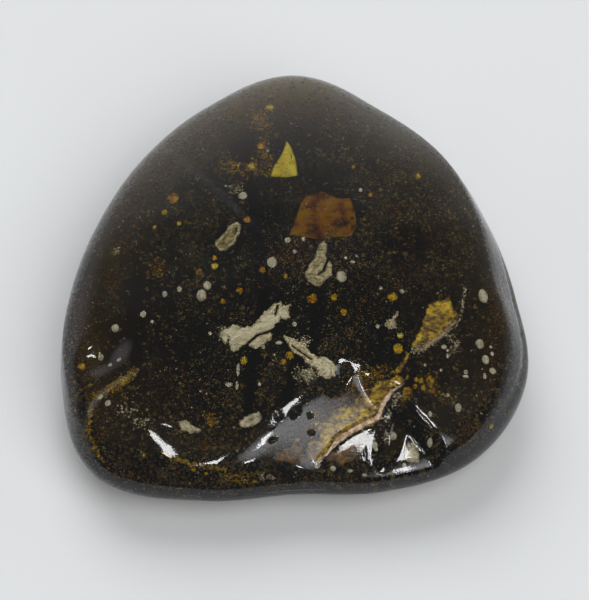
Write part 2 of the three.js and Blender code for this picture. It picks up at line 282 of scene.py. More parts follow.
# A thin closed flake with a ragged edge and fibrous relief, lying at an even depth under the skin
def flakeMesh(outline, look):
    step = look["step"]
    corners = np.array(outline)
    low, high = corners.min(0) - 2 * step, corners.max(0) + 2 * step
    x, y = np.meshgrid(np.arange(low[0], high[0], step), np.arange(low[1], high[1], step), indexing="ij")
    edge = insideDistance(outline, x, y)
    edge = edge + look["ragged"] * (2 * mottle(x, y, look["raggedSize"], look["seed"]) - 1)
    for slit in look.get("slits", []):
        edge = np.minimum(edge, np.abs(fromLine(slit, x, y)[0]) - look["slitWidth"])
    solid = edge > 0
    cells = solid[:-1, :-1] & solid[1:, :-1] & solid[:-1, 1:] & solid[1:, 1:]
    around = np.zeros((x.shape[0] + 1, x.shape[1] + 1), int)
    around[1:-1, 1:-1] = cells
    touching = around[:-1, :-1] + around[1:, :-1] + around[:-1, 1:] + around[1:, 1:]
    rim = (touching > 0) & (touching < 4)
    slopeX, slopeY = np.gradient(edge, step)
    steep = np.maximum(slopeX ** 2 + slopeY ** 2, flakeLeastSlope)
    x = np.where(rim, x - slopeX * np.clip(edge / steep, 0, step), x)
    y = np.where(rim, y - slopeY * np.clip(edge / steep, 0, step), y)
    turn = math.radians(look["fibreTurn"])
    along, across = x * math.cos(turn) + y * math.sin(turn), y * math.cos(turn) - x * math.sin(turn)
    fibres = mottle(along / look["fibreStretch"], across, look["fibreSize"], look["seed"] + 5)
    body = np.where(rim, 0, 1 - np.exp(-np.maximum(edge, 0) / look["roll"]))
    sunk = look.get("dish", 0) * smoothStep(edge, look.get("lip", 1), 2 * look.get("lip", 1))
    middle = crownHeight(x, y) - look["depth"]
    top = middle + body * (look["thickness"] / 2 + look["relief"] * (2 * fibres - 1)) - sunk * body
    bottom = middle - body * (look["thickness"] / 2 + sunk)
    index = np.full(x.shape, -1)
    used = touching > 0
    index[used] = np.arange(used.sum())
    under = index.copy()
    inner = used & ~rim
    under[inner] = used.sum() + np.arange(inner.sum())
    vertices = np.concatenate([np.stack([x[used], y[used], top[used]], 1),
                               np.stack([x[inner], y[inner], bottom[inner]], 1)])
    i, j = np.nonzero(cells)
    faces = np.stack([index[i, j], index[i + 1, j], index[i + 1, j + 1], index[i, j + 1]], 1)
    backs = np.stack([under[i, j], under[i, j + 1], under[i + 1, j + 1], under[i + 1, j]], 1)
    return vertices, np.concatenate([faces, backs])


# Rounds of smoothing of a strand's course, its thinnest end, and where its grain pattern is read
strandRules = {"smoothing": 3, "thinnestEnd": 0.12, "grainFrom": 40}


# A rough closed cord along a line on the skin, such as a crust or the rim of a fracture
def strandMesh(line, look):
    knots = [Vector((x, y, 0)) for x, y in line]
    lengths = np.cumsum([0] + [(b - a).length for a, b in zip(knots, knots[1:])])
    places = np.arange(0, lengths[-1], look["step"])
    x = np.interp(places, lengths, [k.x for k in knots])
    y = np.interp(places, lengths, [k.y for k in knots])
    for _ in range(strandRules["smoothing"]):
        x[1:-1], y[1:-1] = (x[:-2] + 2 * x[1:-1] + x[2:]) / 4, (y[:-2] + 2 * y[1:-1] + y[2:]) / 4
    aheadX, aheadY = np.gradient(x), np.gradient(y)
    size = np.hypot(aheadX, aheadY)
    aheadX, aheadY = aheadX / size, aheadY / size
    sides = look["sides"]
    share = places / lengths[-1]
    taper = np.clip(np.minimum(share, 1 - share) / look["taper"], strandRules["thinnestEnd"], 1)
    turns = np.arange(sides) / sides * 2 * math.pi
    grain = mottle(places[:, None] + strandRules["grainFrom"], turns[None, :] * look["radius"] * 2,
                   look["grain"], look["seed"])
    radius = look["radius"] * taper[:, None] * (1 + look["rough"] * (2 * grain - 1))
    wide, tall = radius * np.cos(turns) * look.get("spread", 1), radius * np.sin(turns)
    px, py = x[:, None] - aheadY[:, None] * wide, y[:, None] + aheadX[:, None] * wide
    pz = crownHeight(px, py) - look["depth"] + tall
    vertices = np.stack([px, py, pz], 2).reshape(-1, 3)
    faces = []
    for ringIndex in range(len(places) - 1):
        for side in range(sides):
            a, b = ringIndex * sides + side, ringIndex * sides + (side + 1) % sides
            faces.append((a, b, b + sides, a + sides))
    last = (len(places) - 1) * sides
    faces.append(tuple(reversed(range(sides))))
    faces.append(tuple(range(last, last + sides)))
    return vertices, faces


# Joins several closed shapes in one list of corners and faces
def joined(shapes):
    vertices, faces, start = [], [], 0
    for points, polygons in shapes:
        vertices.append(np.asarray(points))
        faces += [tuple(int(k) + start for k in polygon) for polygon in polygons]
        start += len(points)
    return np.concatenate(vertices), faces


def addPiece(name, shape, material, replaced=()):
    piece = newMesh(name, shape[0], [tuple(map(int, face)) for face in shape[1]], material)
    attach(piece, "root")
    if replaced:
        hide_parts(*replaced)
    print("made", name, len(piece.data.polygons), "faces")
    return piece


# Amber: fossil resin, tumbled and polished by hand. It gives a wet gloss over a see-through olive-brown body.
amberLook = {
    "ior": 1.54,
    "roughness": 0.035,
    "absorbPerMetre": 820,                 # for a colour of which nothing is passed
    "passedColour": (0.72, 0.66, 0.26),    # the share of red, green and blue that isn't absorbed
    "ripple": 2.6, "rippleDepth": 0.009,   # millimetres: the soft unevenness that polishing leaves
    "scuff": 0.12, "scuffDepth": 0.001,    # finer than one pixel in a real polish, so drawn coarser
}


# Noise whose patches have the given size in millimetres
def addNoise(tree, place, size, detail):
    return addNode(tree, "ShaderNodeTexNoise", {"Scale": 1000 / size, "Detail": detail}, {"Vector": place})


def amberResin():
    look = amberLook
    material, tree = newMaterial("Polished amber")
    place = addNode(tree, "ShaderNodeTexCoord").outputs["Object"]
    ripple = addNoise(tree, place, look["ripple"], 1.0)
    scuff = addNoise(tree, place, look["scuff"], 3.0)
    soft = addNode(tree, "ShaderNodeBump", {"Strength": 1.0, "Distance": look["rippleDepth"] * mm},
                   {"Height": ripple.outputs["Fac"]})
    fine = addNode(tree, "ShaderNodeBump", {"Strength": 1.0, "Distance": look["scuffDepth"] * mm},
                   {"Height": scuff.outputs["Fac"], "Normal": soft.outputs["Normal"]})
    resin = addNode(tree, "ShaderNodeBsdfPrincipled", {
        "Base Color": (1, 1, 1, 1), "Roughness": look["roughness"], "IOR": look["ior"],
        "Transmission Weight": 1.0}, {"Normal": fine.outputs["Normal"]})
    body = addNode(tree, "ShaderNodeVolumeAbsorption", {
        "Color": (*look["passedColour"], 1), "Density": look["absorbPerMetre"]})
    addNode(tree, "ShaderNodeOutputMaterial", {}, {
        "Surface": resin.outputs["BSDF"], "Volume": body.outputs["Volume"]})
    return material


# Small reliefs of the polished face: pits, the open crevice, and fine scratches beside it
relief = {
    # centre x, y, half-widths, turn, depth
    "pits": [
        (-1.4, -16.5, 0.46, 0.42, 0, 0.12),
        (0.1, -16.1, 0.7, 0.44, 50, 0.17),
        (1.4, -16.3, 0.28, 0.24, 0, 0.09),
        (-2.0, -17.4, 0.28, 0.22, 60, 0.08),
        (-1.9, -18.4, 0.5, 0.24, 20, 0.1),
        (1.5, -17.6, 0.36, 0.18, 0, 0.12),
    ],
    "crevice": [(2.2, -19.6), (2.8, -19.1), (3.8, -18.0), (5.0, -17.2), (6.3, -16.5), (7.4, -16.0),
                (7.8, -15.0), (8.6, -14.2), (9.8, -13.5)],
    "creviceHalf": 0.3, "creviceDepth": 0.2, "creviceWave": (0.06, 0.94), "scratchEnds": (0.02, 0.98),
    "scratches": [
        {"line": [(6.3, -19.3), (7.1, -19.2), (8.4, -18.2), (9.1, -17.6), (10.9, -16.7)],
         "half": 0.05, "depth": 0.03},
        {"line": [(6.2, -18.4), (6.2, -18.8), (6.3, -19.6)], "half": 0.05, "depth": 0.04},
        {"line": [(9.7, -13.9), (9.4, -14.7), (8.9, -16.3), (8.1, -17.8)], "half": 0.09, "depth": 0.1},
    ],
}


def fineRelief(x, y):
    z = np.zeros(np.shape(x))
    for *place, depth in relief["pits"]:
        z = z - depth * np.maximum(0, 1 - ellipseShare(x, y, *place)) ** 1.5
    distance, share = fromLine(relief["crevice"], x, y)
    openness = np.sin(math.pi * between(relief["creviceWave"], share))
    z = z - relief["creviceDepth"] * openness * np.exp(-(distance / relief["creviceHalf"]) ** 4)
    for scratch in relief["scratches"]:
        distance, share = fromLine(scratch["line"], x, y)
        fade = np.sin(math.pi * np.clip(share, *relief["scratchEnds"]))
        z = z - scratch["depth"] * fade * np.exp(-(distance / scratch["half"]) ** 2)
    return z


# The skin is cut finer where the small reliefs are: low corner, high corner, in millimetres
skinCut = {
    "ballSteps": 7,
    "aboveGirdle": 0.02,       # the share of the ball's height from which it is cut finer
    "fineZones": [(-5.5, -22.2, 11.5, -12.5), (-19.5, -19.5, -12.5, -9.0)],
    "finerZones": [(-3.2, -21.5, 10.8, -13.8)],
}


def amberSkin():
    ball = bmesh.new()
    bmesh.ops.create_icosphere(ball, subdivisions=skinCut["ballSteps"], radius=1)
    for zones in (skinCut["fineZones"], skinCut["finerZones"]):
        points = np.array([vertex.co[:] for vertex in ball.verts])
        places = skinPoints(points)
        chosen = np.zeros(len(points), bool)
        for lowX, lowY, highX, highY in zones:
            inside = (places[:, :2] > (lowX, lowY)) & (places[:, :2] < (highX, highY))
            chosen |= inside.all(axis=1)
        chosen &= points[:, 2] > skinCut["aboveGirdle"]
        ball.verts.index_update()
        edges = [e for e in ball.edges if chosen[e.verts[0].index] and chosen[e.verts[1].index]]
        bmesh.ops.subdivide_edges(ball, edges=edges, cuts=1, use_grid_fill=True)
        bmesh.ops.triangulate(ball, faces=[f for f in ball.faces if len(f.verts) > 3])
    ball.verts.index_update()
    points = np.array([vertex.co[:] for vertex in ball.verts])
    places = skinPoints(points)
    crown = points[:, 2] > 0
    places[crown, 2] += fineRelief(places[crown, 0], places[crown, 1])
    faces = [tuple(vertex.index for vertex in face.verts) for face in ball.faces]
    ball.free()
    return places, faces


addPiece("amber", amberSkin(), amberResin(), ("amber_upper", "amber_lower"))


# A finish is without direction and nearly flat unless it says otherwise
evenGrain = {"fibreTurn": 0, "fibreStretch": 1, "blotShare": 1.0, "bumpDepth": 0.01, "shine": 0.0}


# Plant debris: dried, ragged and matt. Resin fills its pores, so it has no gloss of its own. The same finish
# also paints the reflections of the fractures, flecks and gold haze.
def debrisAndReflectionFinish(name, look):
    look = {**evenGrain, **look}
    material, tree = newMaterial(name)
    place = addNode(tree, "ShaderNodeTexCoord").outputs["Object"]
    along, across = 1000 / (look["fibreSize"] * look["fibreStretch"]), 1000 / look["fibreSize"]
    turned = addNode(tree, "ShaderNodeMapping", {
        "Rotation": (0, 0, -math.radians(look["fibreTurn"])), "Scale": (along, across, across)},
        {"Vector": place})
    fibres = addNode(tree, "ShaderNodeTexNoise", {"Scale": 1.0, "Detail": 4.0, "Roughness": 0.6},
                     {"Vector": turned.outputs["Vector"]})
    blots = addNoise(tree, place, look["blotSize"], 3.0)
    mixed = addNode(tree, "ShaderNodeMath", {"operation": "MULTIPLY_ADD", 1: look["blotShare"]},
                    {0: blots.outputs["Fac"], 2: fibres.outputs["Fac"]})
    levelled = addNode(tree, "ShaderNodeMath", {"operation": "DIVIDE", 1: 1 + look["blotShare"]},
                       {0: mixed.outputs["Value"]})
    colour = addNode(tree, "ShaderNodeValToRGB", {"stops": look["colours"]},
                     {"Fac": levelled.outputs["Value"]})
    bump = addNode(tree, "ShaderNodeBump", {"Strength": 0.6, "Distance": look["bumpDepth"] * mm},
                   {"Height": fibres.outputs["Fac"]})
    finish = addNode(tree, "ShaderNodeBsdfPrincipled", {
        "Roughness": look["roughness"], "Specular IOR Level": look["shine"]},
        {"Base Color": colour.outputs["Color"], "Normal": bump.outputs["Normal"]})
    addNode(tree, "ShaderNodeOutputMaterial", {}, {"Surface": finish.outputs["BSDF"]})
    return material


# Weathered bark: pale, stringy, with grey-brown shreds between its fibres
bark = {
    "fibreTurn": 35, "fibreSize": 0.28, "fibreStretch": 5, "blotSize": 0.9, "blotShare": 0.8,
    "bumpDepth": 0.05, "roughness": 0.85,
    "colours": [(0.30, "#54493a"), (0.40, "#ada48f"), (0.50, "#dcd6c4"), (0.64, "#f2efe4")],
    "shape": {"step": 0.065, "ragged": 0.3, "raggedSize": 0.42, "seed": 3, "slitWidth": 0.09, "roll": 0.16,
              "fibreTurn": 35, "fibreSize": 0.3, "fibreStretch": 5, "depth": 0.52, "thickness": 0.42,
              "relief": 0.17,
              "slits": [[(-4.3, -10.1), (-3.3, -9.2), (-2.0, -8.8)], [(-1.5, -6.5), (-1.7, -7.3)]]},
    "outline": [
        (-6.8, -9.0), (-6.5, -8.7), (-5.9, -8.6), (-5.6, -8.3), (-5.1, -8.1), (-5.0, -8.4), (-4.1, -8.4),
        (-3.6, -8.1), (-3.1, -7.8), (-2.9, -7.0), (-2.3, -6.9), (-1.9, -6.4), (-1.2, -6.0), (-0.8, -6.4),
        (-0.3, -6.5), (-0.6, -7.2), (-0.4, -7.6), (-0.7, -7.8), (-1.4, -7.8), (-1.8, -8.3), (-2.0, -8.8),
        (-2.1, -9.5), (-2.5, -10.0), (-3.5, -10.4), (-4.2, -10.2), (-4.7, -10.2), (-5.5, -10.7),
        (-5.7, -10.2), (-5.9, -9.6), (-6.2, -10.0), (-6.5, -9.6)],
}
addPiece("bark_strip", flakeMesh(bark["outline"], bark["shape"]), debrisAndReflectionFinish("Weathered bark", bark),
         ("bark_sliver",))

# Twig: a split splinter of pale wood, its broken wide end crumbly and tan
twig = {
    "fibreTurn": -45, "fibreSize": 0.16, "fibreStretch": 1.8, "blotSize": 0.3, "blotShare": 1.0,
    "bumpDepth": 0.08, "roughness": 0.85,
    "colours": [(0.31, "#6b5433"), (0.40, "#b9a884"), (0.49, "#e2dac6"), (0.62, "#f4f1e8")],
    "shape": {"step": 0.055, "ragged": 0.2, "raggedSize": 0.3, "seed": 11, "slitWidth": 0.05, "roll": 0.2,
              "fibreTurn": -45, "fibreSize": 0.22, "fibreStretch": 2.5, "depth": 0.5, "thickness": 0.5,
              "relief": 0.16, "slits": [[(-0.2, -10.2), (0.9, -11.0), (1.5, -11.4)]]},
    "outline": [
        (-1.1, -9.4), (-0.8, -9.2), (-0.4, -9.3), (0.0, -9.6), (0.4, -9.8), (0.7, -9.6), (1.1, -10.0),
        (0.9, -10.4), (1.5, -10.8), (2.0, -11.2), (2.7, -11.2), (3.3, -11.5), (3.8, -12.0), (3.6, -12.7),
        (3.0, -13.0), (2.4, -12.9), (2.0, -12.8), (2.1, -12.4), (1.6, -12.1), (1.0, -11.6), (0.4, -11.1),
        (-0.4, -10.4), (-0.8, -9.8)],
}
addPiece("twig_split", flakeMesh(twig["outline"], twig["shape"]), debrisAndReflectionFinish("Crumbled twig wood", twig),
         ("twig_splinter",))

# Husks: papery scales with a raised lip round a sunken middle
husk = {
    "fibreTurn": 62, "fibreSize": 0.24, "fibreStretch": 4, "blotSize": 0.6, "blotShare": 0.8,
    "bumpDepth": 0.04, "roughness": 0.75,
    "colours": [(0.32, "#3c3226"), (0.42, "#93866f"), (0.52, "#cbc3ae"), (0.66, "#e6e2d6")],
    "curl": {"step": 0.06, "ragged": 0.2, "raggedSize": 0.35, "seed": 21, "slitWidth": 0.09, "roll": 0.14,
             "fibreTurn": 62, "fibreSize": 0.3, "fibreStretch": 4, "depth": 0.62, "thickness": 0.5,
             "relief": 0.14, "dish": 0.28, "lip": 0.3, "slits": [[(2.9, -2.1), (2.6, -3.0), (2.2, -3.3)]]},
    "curlOutline": [
        (2.3, -0.2), (2.7, 0.1), (3.0, -0.4), (2.9, -1.4), (2.8, -2.1), (3.2, -1.9), (3.5, -2.5), (3.3, -3.4),
        (2.8, -3.9), (2.4, -4.5), (1.8, -4.6), (1.4, -4.3), (1.0, -3.7), (0.9, -3.2), (1.3, -2.4),
        (1.7, -1.7), (2.0, -0.9)],
    "seed": {"step": 0.06, "ragged": 0.12, "raggedSize": 0.4, "seed": 27, "roll": 0.12,
             "fibreTurn": 49, "fibreSize": 0.3, "fibreStretch": 4, "depth": 0.66, "thickness": 0.4,
             "relief": 0.06, "dish": 0.42, "lip": 0.24},
    "seedOutline": [
        (-5.2, 2.1), (-4.7, 1.7), (-4.9, 0.8), (-5.4, -0.2), (-6.1, -0.8), (-6.7, -1.0), (-7.3, -0.3),
        (-7.0, 0.2), (-6.4, 0.9), (-5.8, 1.7)],
}
huskFinish = debrisAndReflectionFinish("Papery husk", husk)
addPiece("husk_scale", flakeMesh(husk["curlOutline"], husk["curl"]), huskFinish, ("husk_curl",))
addPiece("seed_scale", flakeMesh(husk["seedOutline"], husk["seed"]), huskFinish, ("seed_husk",))

# Leaf: thin and orange-brown where light comes through it, with darker mould spots
leaf = {
    "fibreTurn": 80, "fibreSize": 0.5, "fibreStretch": 2, "blotSize": 1.3, "blotShare": 2.0,
    "bumpDepth": 0.02, "roughness": 0.6,
    "colours": [(0.36, "#2c1a06"), (0.44, "#6a3a0a"), (0.52, "#925f0c"), (0.64, "#9c7a12")],
    "shape": {"step": 0.09, "ragged": 0.12, "raggedSize": 0.9, "seed": 31, "roll": 0.08,
              "fibreTurn": 80, "fibreSize": 0.8, "fibreStretch": 2, "depth": 0.85, "thickness": 0.16,
              "relief": 0.05},
    "outline": [
        (1.1, 5.0), (1.8, 5.3), (2.5, 5.5), (3.3, 5.2), (4.0, 4.8), (5.1, 4.9), (5.5, 3.2), (5.6, 1.7),
        (5.2, 0.7), (4.7, 0.5), (3.4, 0.5), (2.4, 0.1), (1.3, 0.4), (-0.1, 0.6), (-0.6, 0.6), (-0.2, 1.7),
        (0.2, 3.1), (0.5, 4.1)],
}
addPiece("leaf_scrap", flakeMesh(leaf["outline"], leaf["shape"]), debrisAndReflectionFinish("Dried leaf", leaf),
         ("leaf_flake",))

# Crumbs: bits of pale wood and frass, chalky and uneven
crumbs = {
    "fibreSize": 0.3, "blotSize": 0.5, "bumpDepth": 0.05, "roughness": 0.9,
    "colours": [(0.30, "#5c5142"), (0.42, "#a89f8c"), (0.55, "#d6d0c0"), (0.68, "#e8e4d8")],
    "shape": {"step": 0.05, "ragged": 0.2, "raggedSize": 0.26, "seed": 41, "roll": 0.14,
              "fibreTurn": 20, "fibreSize": 0.25, "fibreStretch": 1.5, "depth": 0.55, "thickness": 0.4,
              "relief": 0.12},
    "outlines": {
        "pale_chip": [(8.0, -8.0), (8.3, -7.6), (8.7, -7.5), (9.0, -7.0), (9.4, -6.5), (9.3, -7.3),
                      (8.9, -7.6), (9.2, -8.4), (9.0, -8.5), (8.5, -8.6), (8.2, -8.3)],
        "left_crumb": [(-10.3, -16.7), (-9.6, -16.5), (-8.9, -17.0), (-8.2, -17.3), (-8.4, -17.7),
                       (-9.2, -17.6), (-10.1, -17.4)],
        "middle_crumb": [(-4.9, -17.1), (-4.2, -17.2), (-3.3, -17.0), (-2.8, -16.4), (-3.2, -15.9),
                         (-3.9, -16.1), (-4.4, -16.4), (-4.8, -16.6)],
        "front_crumb": [(9.9, -17.9), (10.5, -17.7), (10.9, -18.3), (11.1, -19.0), (10.9, -19.3),
                        (10.4, -19.5), (10.0, -19.3), (9.8, -18.6)],
    },
}
crumbFinish = debrisAndReflectionFinish("Chalky crumbs", crumbs)
for node, outline in crumbs["outlines"].items():
    addPiece(node + "_rough", flakeMesh(outline, crumbs["shape"]), crumbFinish, (node,))


# Stress fractures: flat cracks in the resin, drawn as thin sheets whose golden colour is painted reflection
# of the light they throw back, mottled where their faces touch
fractures = {
    "fibreTurn": 38, "fibreSize": 0.26, "fibreStretch": 1.8, "blotSize": 0.8, "blotShare": 0.9,
    "bumpDepth": 0.12, "roughness": 0.4, "shine": 0.5,
    "colours": [(0.36, "#1c1502"), (0.44, "#6e5202"), (0.51, "#b48e04"), (0.59, "#e6c80a"),
                (0.68, "#fdf060")],
    "yellow": {"fibreSize": 0.8,
               "colours": [(0.30, "#a88a0a"), (0.42, "#dcc414"), (0.56, "#f4e840"), (0.70, "#f8f4b0")]},
    "orange": {"colours": [(0.36, "#1e1204"), (0.46, "#4e2e04"), (0.55, "#82560a"), (0.66, "#b48a18")]},
    "goldenSheet": {"step": 0.075, "ragged": 0.5, "raggedSize": 0.7, "seed": 51, "roll": 0.1,
                    "fibreTurn": 38, "fibreSize": 0.4, "fibreStretch": 2, "depth": 0.62, "thickness": 0.1,
                    "relief": 0.2},
    "goldenOutline": [
        (10.5, -12.4), (9.7, -12.8), (8.6, -12.9), (7.5, -13.2), (6.7, -13.4), (5.9, -13.9), (5.3, -14.5),
        (4.6, -14.8), (3.7, -15.1), (3.1, -15.6), (2.6, -16.2), (2.2, -16.9), (1.9, -17.5), (1.1, -18.0),
        (0.9, -18.7), (1.3, -19.6), (2.2, -19.4), (2.9, -18.8), (3.9, -17.8), (5.0, -17.1), (6.1, -16.5),
        (7.3, -16.1), (7.8, -15.3), (7.9, -14.6), (8.5, -14.2), (9.8, -13.5), (10.1, -12.9)],
    "orangeOutline": [
        (1.0, -18.1), (0.2, -18.3), (-0.8, -18.6), (-1.7, -19.0), (-2.1, -19.6), (-1.0, -19.9), (0.2, -19.7),
        (1.2, -19.8), (0.8, -18.9)],
    "stainOutline": [(3.2, -18.6), (5.0, -18.0), (5.7, -17.9), (5.7, -18.8), (5.0, -19.5), (3.8, -19.6),
                     (2.8, -19.2)],
    "veinSheet": {"step": 0.085, "ragged": 0.35, "raggedSize": 0.6, "seed": 57, "roll": 0.1,
                  "fibreTurn": 45, "fibreSize": 0.8, "fibreStretch": 2, "depth": 0.6, "thickness": 0.1,
                  "relief": 0.08},
    "wingOutline": [
        (12.0, -6.1), (13.8, -5.2), (14.3, -6.2), (14.7, -6.8), (14.4, -7.7), (14.1, -7.9), (13.5, -8.7),
        (12.6, -9.5), (11.8, -10.1), (11.4, -10.4), (10.9, -10.4), (10.5, -10.4), (10.3, -10.0), (10.8, -9.4),
        (11.3, -8.3), (11.5, -7.3)],
    "tailOutline": [
        (10.5, -10.5), (10.3, -10.8), (9.8, -11.6), (9.4, -12.4), (8.9, -12.7), (8.7, -12.8), (9.1, -12.2),
        (9.6, -11.4), (10.1, -10.6)],
    "glintSheet": {"step": 0.085, "ragged": 0.06, "raggedSize": 0.6, "seed": 61, "roll": 0.1,
                   "fibreTurn": 80, "fibreSize": 0.8, "fibreStretch": 2, "depth": 0.9, "thickness": 0.1,
                   "relief": 0.03},
    "glintOutline": [
        (-0.7, 11.6), (-0.2, 10.4), (0.2, 8.8), (0.3, 7.3), (-0.9, 7.1), (-2.2, 7.3), (-1.9, 8.5),
        (-1.2, 9.8)],
}
# Painted reflection: the gold, yellow and orange colours stand in for the light the cracks throw back; the
# orange one also colours the stain beside the crust
goldenReflectionFinish = debrisAndReflectionFinish("Golden fracture, painted reflection", fractures)
yellowGlintFinish = debrisAndReflectionFinish("Yellow fracture, painted glint", {**fractures, **fractures["yellow"]})
orangeReflectionAndStainFinish = debrisAndReflectionFinish("Orange fracture reflection and stain", {**fractures, **fractures["orange"]})
for name, finish, sheet, outlines in (
        ("golden", goldenReflectionFinish, "goldenSheet", ["goldenOutline"]),
        ("wing", goldenReflectionFinish, "veinSheet", ["wingOutline", "tailOutline"]),
        ("glint", yellowGlintFinish, "glintSheet", ["glintOutline"]),
        ("orange", orangeReflectionAndStainFinish, "veinSheet", ["orangeOutline", "stainOutline"])):
    sheets = [flakeMesh(fractures[outline], fractures[sheet]) for outline in outlines]
    addPiece(name + "_fracture", joined(sheets), finish)

# Crust: dust and old polish packed in the crevice, pinkish tan and dry
crust = {
    "fibreTurn": 40, "fibreSize": 0.2, "fibreStretch": 1.5, "blotSize": 0.4, "blotShare": 1.0,
    "bumpDepth": 0.05, "roughness": 0.95,
    "colours": [(0.32, "#5e4c3c"), (0.45, "#9c846c"), (0.6, "#c8b298")],
    "shape": {"step": 0.05, "sides": 12, "radius": 0.17, "spread": 1.2, "depth": 0.16, "taper": 0.2,
              "grain": 0.12, "rough": 0.7, "seed": 71},
    "rimShape": {"step": 0.07, "sides": 10, "radius": 0.13, "depth": 0.3, "taper": 0.3, "grain": 0.3,
                 "rough": 0.35, "seed": 77},
    "rimLine": [(10.5, -10.6), (11.2, -10.6), (11.7, -10.2), (12.1, -9.8), (12.8, -9.3), (13.5, -8.6),
                (14.0, -8.1), (14.4, -7.6), (14.7, -6.9)],
}
addPiece("crevice_crust", joined([strandMesh(relief["crevice"], crust["shape"]),
                                  strandMesh(crust["rimLine"], crust["rimShape"])]),
         debrisAndReflectionFinish("Packed dust", crust))

# Grains and old bubbles: small pale rounded bodies, many of them filled with fine chalky dust
grains = {
    "fibreSize": 0.3, "blotSize": 0.6, "roughness": 0.7,
    "colours": [(0.30, "#8f8878"), (0.45, "#b9b3a4"), (0.62, "#d5d0c3")],
    "depth": 0.45, "flat": 0.5, "seed": 5, "lumps": 0.3, "lumpSize": 0.8, "cover": 0.2, "patternStep": 9,
    # x, y, and the half-widths across and along
    "places": [
        (-2.0, -2.3, 0.46, 0.55), (4.2, -3.6, 0.46, 0.55), (-8.3, -5.4, 0.46, 0.55), (-7.8, -4.5, 0.36, 0.44),
        (-11.6, -5.2, 0.23, 0.28), (-10.3, -4.8, 0.23, 0.28), (-4.7, 4.9, 0.41, 0.44),
        (-13.5, -7.0, 0.27, 0.33), (-16.0, -8.0, 0.36, 0.33), (16.9, -4.7, 0.44, 0.74),
        (16.5, -9.5, 0.35, 0.46), (17.0, -10.9, 0.32, 0.42), (17.6, -11.8, 0.32, 0.28),
        (16.9, -12.4, 0.16, 0.26), (14.5, -15.3, 0.30, 0.36), (9.6, -5.0, 0.23, 0.22),
        (7.4, -8.4, 0.18, 0.22), (7.7, -4.8, 0.18, 0.18), (0.8, 0.1, 0.18, 0.22), (-0.6, -0.0, 0.27, 0.28),
        (0.0, -1.2, 0.18, 0.22), (0.0, -8.3, 0.23, 0.22), (-1.4, -10.0, 0.32, 0.17),
        (-2.8, -10.4, 0.18, 0.20), (-7.5, -9.1, 0.16, 0.18), (-1.8, -11.1, 0.12, 0.13),
        (-5.0, -12.4, 0.14, 0.55), (-5.1, -13.8, 0.15, 0.39), (-5.8, -13.7, 0.34, 0.2),
        (-3.1, -13.7, 0.15, 0.18), (13.3, -10.1, 0.26, 0.20), (13.6, -10.4, 0.12, 0.14),
        (13.6, -10.9, 0.12, 0.22), (15.2, -12.2, 0.20, 0.20), (15.2, -12.6, 0.27, 0.15),
        (11.6, -11.8, 0.14, 0.14), (13.0, -12.2, 0.12, 0.13), (12.0, -16.0, 0.16, 0.24),
        (13.6, -14.3, 0.18, 0.17), (17.6, -10.3, 0.16, 0.20), (17.5, -9.7, 0.13, 0.15),
        (8.8, -17.2, 0.33, 0.35), (7.1, -18.2, 0.24, 0.33), (7.2, -18.5, 0.15, 0.17),
        (7.0, -17.7, 0.15, 0.14), (6.1, -18.4, 0.16, 0.17), (9.7, -19.8, 0.18, 0.22),
        (12.0, -18.1, 0.23, 0.29), (2.0, -19.8, 0.27, 0.29), (3.4, -20.1, 0.27, 0.22),
        (4.9, -20.3, 0.23, 0.13), (6.2, -20.6, 0.23, 0.13), (-17.2, -14.3, 0.27, 0.26),
        (-16.5, -15.0, 0.27, 0.26), (-17.3, -10.1, 0.27, 0.28), (-15.6, -10.8, 0.23, 0.22),
        (-16.4, -11.1, 0.18, 0.22), (-12.7, -7.8, 0.14, 0.17), (6.0, 5.6, 0.18, 0.22),
        (4.6, -1.8, 0.15, 0.18), (5.2, -2.2, 0.23, 0.13), (5.6, -1.6, 0.11, 0.13)],
}


def ballShape(steps):
    ball = bmesh.new()
    bmesh.ops.create_icosphere(ball, subdivisions=steps, radius=1)
    points = np.array([vertex.co[:] for vertex in ball.verts])
    faces = [tuple(vertex.index for vertex in face.verts) for face in ball.faces]
    ball.free()
    return points, faces


def grainShapes():
    points, faces = ballShape(3)
    shapes = []
    for k, (x, y, halfX, halfY) in enumerate(grains["places"]):
        pattern = mottle(points[:, 0] + grains["patternStep"] * k, points[:, 1] + points[:, 2],
                         grains["lumpSize"], grains["seed"])
        lumps = 1 + grains["lumps"] * (pattern - 0.5)
        tall = grains["flat"] * min(halfX, halfY)
        depth = min(grains["depth"], grains["cover"] + tall)
        east, north = skinSlopes(x, y)
        offset = points * [halfX, halfY, tall] * lumps[:, None]
        offset[:, 2] += offset[:, 0] * east + offset[:, 1] * north
        shapes.append((offset + [x, y, float(crownHeight(x, y)) - depth], faces))
    return joined(shapes)


addPiece("pale_grains", grainShapes(), debrisAndReflectionFinish("Chalky grains", grains))

